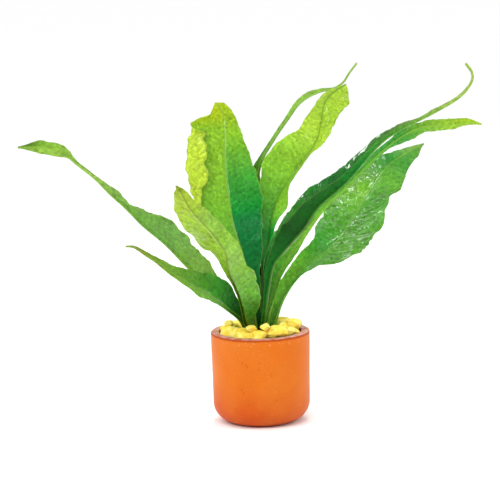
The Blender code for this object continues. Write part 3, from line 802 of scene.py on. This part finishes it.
frondFrontLeft = {
    "node": "frond_front_left", "seed": 3,
    "midrib": [(-7, -11, 89), (-14, -16, 103), (-17, -24, 119), (-20, -31, 133), (-24, -38, 145),
               (-28, -46, 158), (-30, -52, 168), (-32, -60, 182), (-38, -67, 193), (-45, -74, 204),
               (-64, -90, 229), (-73, -100, 248), (-77, -104, 253)],
    "face": [(0, (-0.2, -0.9, -0.1)), (1, (-0.3, -0.9, -0.2))],
    "widthLeft": [(0, 2), (0.15, 3), (0.3, 3), (0.38, 6), (0.45, 11), (0.52, 19), (0.6, 25),
                  (0.75, 24), (0.85, 19), (0.95, 9), (1, 0.6)],
    "widthRight": [(0, 2), (0.08, 8), (0.2, 20), (0.35, 23), (0.45, 17), (0.6, 14), (0.8, 12),
                   (0.94, 6), (1, 0.6)],
    **both("fold", [(0, -25), (1, -12)]),
    "toneLeft": [(0, seen(90, 120, 50)), (0.2, seen(64, 122, 52)), (0.38, seen(120, 168, 62)),
                 (0.5, seen(152, 195, 68)), (0.75, seen(164, 205, 70)), (0.9, seen(182, 209, 66)),
                 (1, seen(150, 170, 60))],
    "toneRight": [(0, seen(80, 116, 46)), (0.15, seen(60, 118, 54)), (0.3, seen(104, 166, 64)),
                  (0.5, seen(146, 197, 80)), (0.75, seen(150, 200, 70)), (0.88, seen(176, 206, 68)),
                  (1, seen(150, 170, 60))],
    "ribColour": seen(128, 138, 48), "keelInFront": True,
    "light": [(0, 1.3), (0.25, 1.4), (0.4, 1.15), (0.6, 1.05), (1, 1)],
    "shineRight": [(0, 0), (0.15, 0.2), (0.3, 0.6), (0.5, 0.6), (0.6, 0.1), (0.75, 0.5), (0.85, 0.2), (1, 0)],
    "shineLeft": [(0, 0), (0.5, 0.1), (0.65, 0.5), (0.8, 0.4), (1, 0)],
    "veinsRight": [(0, 0.07), (0.25, 0.2), (0.5, 0.2), (0.6, 0.07)], "puckerSize": 6,
    "puckerRight": [(0, 0.3), (0.25, 0.8), (0.55, 0.8), (0.65, 0.4)],
}
growFrond(frondFrontLeft)

frondTallLeft = {
    "node": "frond_tall_left", "seed": 4,
    "midrib": [(-3, 4, 91), (-5, 6, 107), (-9, 12, 137), (-15, 20, 163), (-20, 26, 179),
               (-25, 34, 196), (-28, 42, 215), (-31, 54, 243), (-32, 62, 262), (-32, 72, 287),
               (-34, 79, 307), (-41, 80, 316)],
    "face": [(0, (0.1, -0.95, 0.1)), (1, (0.05, -0.9, 0.3))],
    "widthLeft": [(0, 2), (0.1, 3), (0.22, 5), (0.34, 15), (0.45, 27), (0.52, 32), (0.57, 35),
                  (0.63, 37), (0.7, 39), (0.8, 37), (0.86, 32), (0.88, 30), (0.91, 32), (0.95, 24),
                  (0.985, 12), (1, 0.6)],
    "widthRight": [(0, 3), (0.04, 6), (0.1, 7), (0.22, 12), (0.33, 22), (0.42, 29), (0.55, 35), (0.66, 31),
                   (0.76, 26), (0.84, 19), (0.92, 13), (0.97, 7), (1, 0.6)],
    "foldLeft": [(0, 15), (0.3, 8), (1, 4)],
    "foldRight": [(0, 15), (0.3, 12), (1, 10)],
    "turnLeft": [(0, 0), (0.46, 0), (0.54, 150), (0.6, 166), (0.85, 168), (0.9, 60), (1, 0)],
    "hemLeft": [(0, 0), (0.46, 0), (0.54, 7), (0.6, 15), (0.66, 22), (0.72, 21), (0.84, 20), (0.9, 4),
                (0.93, 0), (1, 0)], "columns": 28,
    "toneLeft": [(0, seen(90, 120, 60)), (0.3, seen(80, 150, 66)), (0.5, seen(124, 186, 68)),
                 (0.7, seen(146, 200, 68)), (0.88, seen(150, 200, 66)), (0.93, seen(176, 204, 58)),
                 (1, seen(190, 210, 60))],
    "toneRight": [(0, seen(30, 70, 32)), (0.2, seen(0, 122, 70)), (0.47, seen(0, 134, 76)),
                  (0.51, seen(40, 154, 72)), (0.66, seen(84, 170, 70)), (0.78, seen(122, 188, 68)),
                  (0.92, seen(160, 200, 62)), (1, seen(190, 210, 60))],
    "underColour": seen(202, 228, 80), "underStrength": 0.9, "ribColour": seen(160, 206, 90),
    "specular": 0.06, "netLight": 0.4,
}
growFrond(frondTallLeft)

frondBackSlender = {
    "node": "frond_back_slender", "seed": 5,
    "midrib": [(2, 11, 88), (2, 24, 121), (3, 48, 168), (4, 64, 215), (1, 69, 238), (3, 71, 250),
               (7, 74, 260), (15, 78, 272), (24, 82, 285), (34, 86, 298), (44, 90, 311), (55, 94, 319),
               (68, 98, 324), (79, 102, 326), (86, 106, 328), (93, 107, 333), (99, 107, 342),
               (107, 108, 352)],
    "face": [(0, (-0.5, -0.7, 0.2)), (0.5, (-0.6, -0.6, 0.4)), (0.72, (-0.6, -0.5, 0.6)),
             (0.82, (-0.5, -0.6, 0.6)), (1, (-0.3, -0.8, 0.5))],
    "widthLeft": [(0, 3), (0.08, 6), (0.25, 5), (0.44, 5), (0.5, 9), (0.56, 3.5), (0.66, 3), (0.74, 4.5),
                  (0.8, 5.5), (0.85, 3), (0.89, 0.9), (1, 0.6)],
    "widthRight": [(0, 3), (0.08, 6), (0.25, 6), (0.5, 5), (0.56, 3), (0.66, 2.5), (0.74, 3.5), (0.8, 4.5),
                   (0.85, 2.5), (0.89, 0.9), (1, 0.6)],
    **both("fold", [(0, 20), (1, 20)]),
    "toneLeft": [(0, seen(50, 100, 48)), (0.5, seen(90, 150, 62)), (0.75, seen(146, 192, 80)),
                 (1, seen(150, 190, 90))],
    "toneRight": [(0, seen(50, 100, 48)), (0.5, seen(84, 148, 60)), (0.75, seen(134, 186, 76)),
                  (1, seen(150, 190, 90))],
    "stalkThickness": 2.4, "ruffle": 1.0,
}
growFrond(frondBackSlender)

frondTallRight = {
    "node": "frond_tall_right", "seed": 6,
    "midrib": [(6, 8, 90), (7, 12, 121), (9, 24, 158), (12, 40, 191), (21, 52, 218), (36, 62, 240),
               (61, 77, 271), (68, 85, 292), (74, 91, 315), (95, 97, 331)],
    "face": [(0, (-0.2, -0.95, 0.1)), (1, (-0.15, -0.9, 0.35))],
    "widthLeft": [(0, 2), (0.2, 4), (0.385, 13), (0.49, 23), (0.58, 34), (0.66, 33), (0.73, 27),
                  (0.81, 19), (0.9, 8), (1, 0.6)],
    "widthRight": [(0, 2), (0.2, 4), (0.385, 12), (0.46, 17), (0.59, 15), (0.73, 14), (0.8, 16),
                   (0.9, 24), (0.96, 21), (0.99, 9), (1, 0.6)],
    "foldLeft": [(0, 20), (0.5, 8), (1, 5)],
    "foldRight": [(0, 30), (0.36, 50), (0.45, 25), (0.54, 62), (0.68, 66), (0.82, 20), (1, 5)],
    "toneLeft": [(0, seen(40, 100, 46)), (0.35, seen(40, 134, 64)), (0.45, seen(97, 168, 67)),
                 (0.55, seen(128, 186, 66)), (0.68, seen(148, 197, 66)), (0.8, seen(172, 208, 72)),
                 (1, seen(158, 194, 80))],
    "toneRight": [(0, seen(40, 100, 46)), (0.36, seen(50, 142, 66)), (0.46, seen(130, 186, 68)),
                  (0.6, seen(124, 172, 66)), (0.74, seen(168, 204, 72)), (0.88, seen(160, 200, 64)),
                  (1, seen(170, 206, 68))],
    "ribColour": seen(92, 142, 50),
    "light": [(0, 1.6), (0.35, 1.6), (0.5, 1.25), (0.75, 1.15), (1, 1)],
}
growFrond(frondTallRight)

frondLongRight = {
    "node": "frond_long_right", "seed": 7,
    "midrib": [(0, -8, 90), (3, -14, 110), (7, -22, 137), (13, -28, 163), (24, -32, 178),
               (44, -38, 201), (59, -42, 223), (86, -47, 247), (116, -52, 281), (137, -56, 297),
               (167, -61, 312), (193, -65, 327), (205, -67, 340), (207, -68, 350), (201, -69, 360)],
    "face": [(0, (-0.8, -0.3, 0.3)), (0.3, (-0.75, -0.1, 0.65)), (1, (-0.6, -0.3, 0.7))],
    "widthLeft": [(0, 2), (0.1, 3), (0.2, 9), (0.27, 19), (0.34, 24), (0.42, 20), (0.52, 14),
                  (0.64, 8), (0.72, 5), (0.78, 2), (0.82, 3), (0.9, 2), (1, 0.6)],
    "widthRight": [(0, 2), (0.1, 3), (0.2, 8), (0.27, 17), (0.34, 23), (0.42, 18), (0.52, 11),
                   (0.64, 6), (0.72, 4), (0.78, 2.5), (0.82, 5), (0.86, 2), (0.91, 4.5), (0.94, 2),
                   (0.97, 4), (1, 0.6)],
    **both("fold", [(0, 40), (0.3, 58), (0.7, 50), (1, 30)]),
    "toneLeft": [(0, seen(70, 116, 56)), (0.2, seen(28, 128, 62)), (0.36, seen(80, 152, 72)),
                 (0.5, seen(36, 128, 62)), (0.68, seen(84, 140, 66)), (0.85, seen(176, 206, 120)),
                 (1, seen(180, 205, 110))],
    "toneRight": [(0, seen(54, 104, 46)), (0.2, seen(26, 122, 58)), (0.32, seen(2, 92, 46)),
                  (0.46, seen(16, 112, 54)), (0.58, seen(56, 142, 64)), (0.72, seen(96, 162, 72)),
                  (0.86, seen(160, 198, 92)), (1, seen(176, 202, 100))],
    "underStrength": 0.0, "ribStrength": 0.2, "edgeStrength": 0.15, "ruffle": 3.4,
    "veinsLeft": [(0, 0.05), (0.2, 0.3), (0.5, 0.3), (0.6, 0.05)],
    "crimp": 1.6, "shineLeft": [(0, 0.2), (0.25, 1), (0.6, 1), (0.8, 0.2)], "shineRight": [(0, 0)],
    "specular": 0.08,
}
growFrond(frondLongRight)

frondTwistedRight = {
    "node": "frond_twisted_right", "seed": 8,
    "midrib": [(6, -2, 90), (6, -5, 104), (13, -5, 129), (21, -3, 153), (42, 0, 183), (66, 5, 214),
               (88, 10, 233), (129, 20, 270), (164, 28, 290), (197, 34, 292), (214, 36, 294),
               (229, 38, 292)],
    "face": [(0, (-0.5, -0.8, 0.2)), (0.6, (-0.5, -0.7, 0.4)), (1, (-0.1, -0.85, 0.5))],
    "widthLeft": [(0, 2), (0.06, 4), (0.14, 8), (0.21, 13), (0.32, 17), (0.44, 15), (0.53, 11),
                  (0.62, 6), (0.69, 5), (0.75, 7), (0.81, 6), (0.9, 7), (0.95, 5), (1, 0.6)],
    "widthRight": [(0, 2), (0.06, 3), (0.14, 7), (0.21, 9), (0.27, 9), (0.32, 5), (0.44, 4), (0.53, 3),
                   (0.62, 3), (0.69, 3), (0.73, 8), (0.77, 11), (0.82, 8), (0.9, 6), (0.95, 4),
                   (1, 0.6)],
    **both("fold", [(0, 30), (1, 10)]),
    "toneLeft": [(0, seen(66, 102, 50)), (0.18, seen(84, 150, 62)), (0.32, seen(116, 174, 70)),
                 (0.5, seen(86, 162, 70)), (0.74, seen(72, 150, 64)), (0.85, seen(134, 180, 67)),
                 (1, seen(172, 206, 60))],
    "toneRight": [(0, seen(80, 120, 58)), (0.2, seen(96, 158, 64)), (0.36, seen(130, 180, 76)),
                  (0.6, seen(96, 170, 68)), (0.75, seen(76, 152, 64)), (0.86, seen(138, 186, 68)),
                  (1, seen(172, 206, 60))],
    "light": [(0, 1.45), (0.35, 1.45), (0.55, 1.15), (1, 1)],
}
growFrond(frondTwistedRight)

frondBroadRight = {
    "node": "frond_broad_right", "seed": 9,
    "midrib": [(12, 2, 88), (14, 3, 101), (22, 6, 122), (35, 11, 141), (50, 17, 156), (73, 26, 171),
               (86, 33, 183), (96, 40, 196), (113, 52, 221), (130, 63, 243), (142, 70, 253),
               (174, 82, 269)],
    "face": [(0, (-0.6, -0.7, 0.3)), (0.4, (-0.4, -0.85, 0.4)), (1, (-0.35, -0.85, 0.45))],
    "widthLeft": [(0, 3), (0.067, 7), (0.16, 10), (0.25, 12), (0.33, 15), (0.39, 18), (0.44, 27),
                  (0.51, 31), (0.57, 32), (0.69, 28), (0.8, 19), (0.87, 9), (0.94, 5), (1, 0.6)],
    "widthRight": [(0, 2), (0.067, 2), (0.16, 3), (0.25, 5), (0.33, 12), (0.4, 25), (0.46, 36),
                   (0.52, 38), (0.58, 37), (0.66, 31), (0.7, 28), (0.74, 30), (0.8, 26), (0.87, 19),
                   (0.94, 12), (1, 0.6)],
    **both("fold", [(0, 30), (0.4, 14), (1, 8)]),
    "toneLeft": [(0, seen(80, 130, 60)), (0.15, seen(98, 156, 66)), (0.26, seen(112, 172, 68)),
                 (0.4, seen(80, 162, 68)), (0.58, seen(106, 176, 68)), (0.68, seen(128, 188, 70)),
                 (0.85, seen(70, 158, 68)), (1, seen(150, 190, 100))],
    "toneRight": [(0, seen(80, 130, 60)), (0.2, seen(90, 158, 66)), (0.45, seen(106, 176, 69)),
                  (0.66, seen(98, 172, 69)), (0.76, seen(112, 180, 68)), (0.88, seen(84, 164, 68)),
                  (1, seen(110, 160, 70))],
    "ribStrength": 0.3, "edgeStrength": 0.15,
    "puckerLeft": [(0, 0.3), (0.35, 0.4), (0.45, 1.2), (0.75, 1.2), (0.82, 0.3)], "puckerSize": 5.5,
    "puckerRight": [(0, 0.3), (0.3, 0.4), (0.7, 0.5)],
    "edgeWave": 0.11, "edgeWaveLength": 13,
    "veinsRight": [(0, 0.05), (0.3, 0.15), (0.4, 0.6), (0.6, 0.5), (0.68, 0.1)], "specular": 0.14,
    "shineLeft": [(0, 0.1), (0.35, 0.3), (0.45, 0.9), (0.78, 0.9), (0.85, 0.2), (1, 0.4)],
    "shineRight": [(0, 0.1), (0.3, 0.4), (0.4, 0.6), (0.62, 0.6), (0.7, 0.1), (1, 0.1)],
    "light": [(0, 1.45), (0.3, 1.35), (0.5, 1.05), (1, 0.95)],
}
growFrond(frondBroadRight)

frondHiddenBack = {
    "node": "frond_hidden_back", "seed": 10,
    "midrib": [(-4, 11, 88), (-7, 20, 116), (-11, 36, 153), (-17, 56, 188), (-25, 78, 216),
               (-31, 96, 230), (-36, 106, 234)],
    "face": [(0, (0.1, -0.95, 0.2)), (1, (0.1, -0.5, 0.85))],
    "widthLeft": [(0, 2), (0.15, 4), (0.4, 15), (0.65, 20), (0.85, 13), (1, 0.6)],
    "widthRight": [(0, 2), (0.15, 4), (0.4, 11), (0.65, 16), (0.85, 11), (1, 0.6)],
    **both("fold", [(0, 25), (1, 15)]),
    **both("tone", [(0, seen(40, 80, 40)), (0.5, seen(50, 130, 60)), (1, seen(110, 170, 70))]),
}
growFrond(frondHiddenBack)

frondShortBack = {
    "node": "frond_short_back", "seed": 11,
    "midrib": [(6, 14, 94), (9, 26, 112), (12, 44, 136), (16, 64, 158), (20, 84, 172), (24, 98, 178),
               (27, 106, 178)],
    "face": [(0, (-0.3, -0.9, 0.2)), (1, (-0.3, -0.4, 0.9))],
    **both("width", [(0, 2), (0.15, 4), (0.4, 13), (0.65, 17), (0.85, 11), (1, 0.6)]),
    **both("fold", [(0, 25), (1, 15)]),
    **both("tone", [(0, seen(40, 80, 40)), (0.5, seen(70, 140, 62)), (1, seen(130, 184, 70))]),
}
growFrond(frondShortBack)

print("fronds grown")


# Floor, light and camera

studio = {
    "floorColour": paint(252, 252, 252), "floorShade": paint(240, 240, 240), "floorSize": 60,
    "world": 0.45, "backdrop": 1.0, "overhead": 1.85, "overheadAngle": 110,
    "lamps": [  # place, aim, size, power, all in metres and watts
        ((-1.4, -1.1, 1.3), (0, 0, 0.2), 0.45, 14),
        ((1.5, -0.6, 1.0), (0, 0, 0.2), 0.5, 7),
        ((0.2, 1.2, 1.5), (0, 0, 0.2), 0.6, 8),
        ((0.0, -1.1, 1.75), (0.1, 0, 0.24), 0.3, 4.5),
        ((-1.0, 0.27, 1.75), (0.1, 0, 0.24), 0.3, 4),
    ],
    "cameraPlace": (-0.0085, -1.951, 0.483), "cameraPitch": -9.0, "cameraRoll": -1.3, "lens": 141.84,
    "sensor": 36,
}

startPiece()
bpy.ops.mesh.primitive_plane_add(size=studio["floorSize"], location=(0, 0, 0))
floor = bpy.context.object
floor.name = "floor"
floorFinish = Finish("white paper floor", Roughness=0.9, Specular_IOR_Level=0.1)
floorGrain = floorFinish.noise(floorFinish.place(), 3.0)
floorTone = floorFinish.mix(floorGrain * 0.02, studio["floorColour"], studio["floorShade"])
floorFinish.feed("Base Color", floorTone)
floor.data.materials.append(floorFinish.material)

for number, (place, aim, size, power) in enumerate(studio["lamps"], start=1):
    light = bpy.data.lights.new("softbox%d" % number, "AREA")
    light.shape = "SQUARE"
    light.size = size
    light.energy = power
    lamp = bpy.data.objects.new(light.name, light)
    lamp.location = place
    lamp.rotation_euler = (Vector(place) - Vector(aim)).to_track_quat("Z", "Y").to_euler()
    bpy.context.scene.collection.objects.link(lamp)

overhead = bpy.data.lights.new("overhead", "SUN")
overhead.energy = studio["overhead"]
overhead.angle = math.radians(studio["overheadAngle"])
overheadLamp = bpy.data.objects.new("overhead", overhead)
bpy.context.scene.collection.objects.link(overheadLamp)

world = bpy.data.worlds.new("pale surroundings")
world.use_nodes = True
sky = world.node_tree.nodes["Background"]
sky.inputs["Color"].default_value = (1, 1, 1, 1)
# the surroundings look white where they are seen, and light the plant less than that
rays = world.node_tree.nodes.new("ShaderNodeLightPath")
strength = world.node_tree.nodes.new("ShaderNodeMapRange")
strength.inputs["To Min"].default_value = studio["world"]
strength.inputs["To Max"].default_value = studio["backdrop"]
world.node_tree.links.new(rays.outputs["Is Camera Ray"], strength.inputs["Value"])
world.node_tree.links.new(strength.outputs["Result"], sky.inputs["Strength"])
bpy.context.scene.world = world
bpy.context.scene.view_settings.view_transform = "Standard"

lens = bpy.data.cameras.new("camera")
lens.lens = studio["lens"]
lens.sensor_width = studio["sensor"]
camera = bpy.data.objects.new("camera", lens)
tilt = Matrix.Rotation(math.radians(90 + studio["cameraPitch"]), 4, "X")
roll = Matrix.Rotation(math.radians(studio["cameraRoll"]), 4, "Z")
camera.matrix_world = Matrix.Translation(studio["cameraPlace"]) @ tilt @ roll
bpy.context.scene.collection.objects.link(camera)
bpy.context.scene.camera = camera
print("floor, light and camera set")
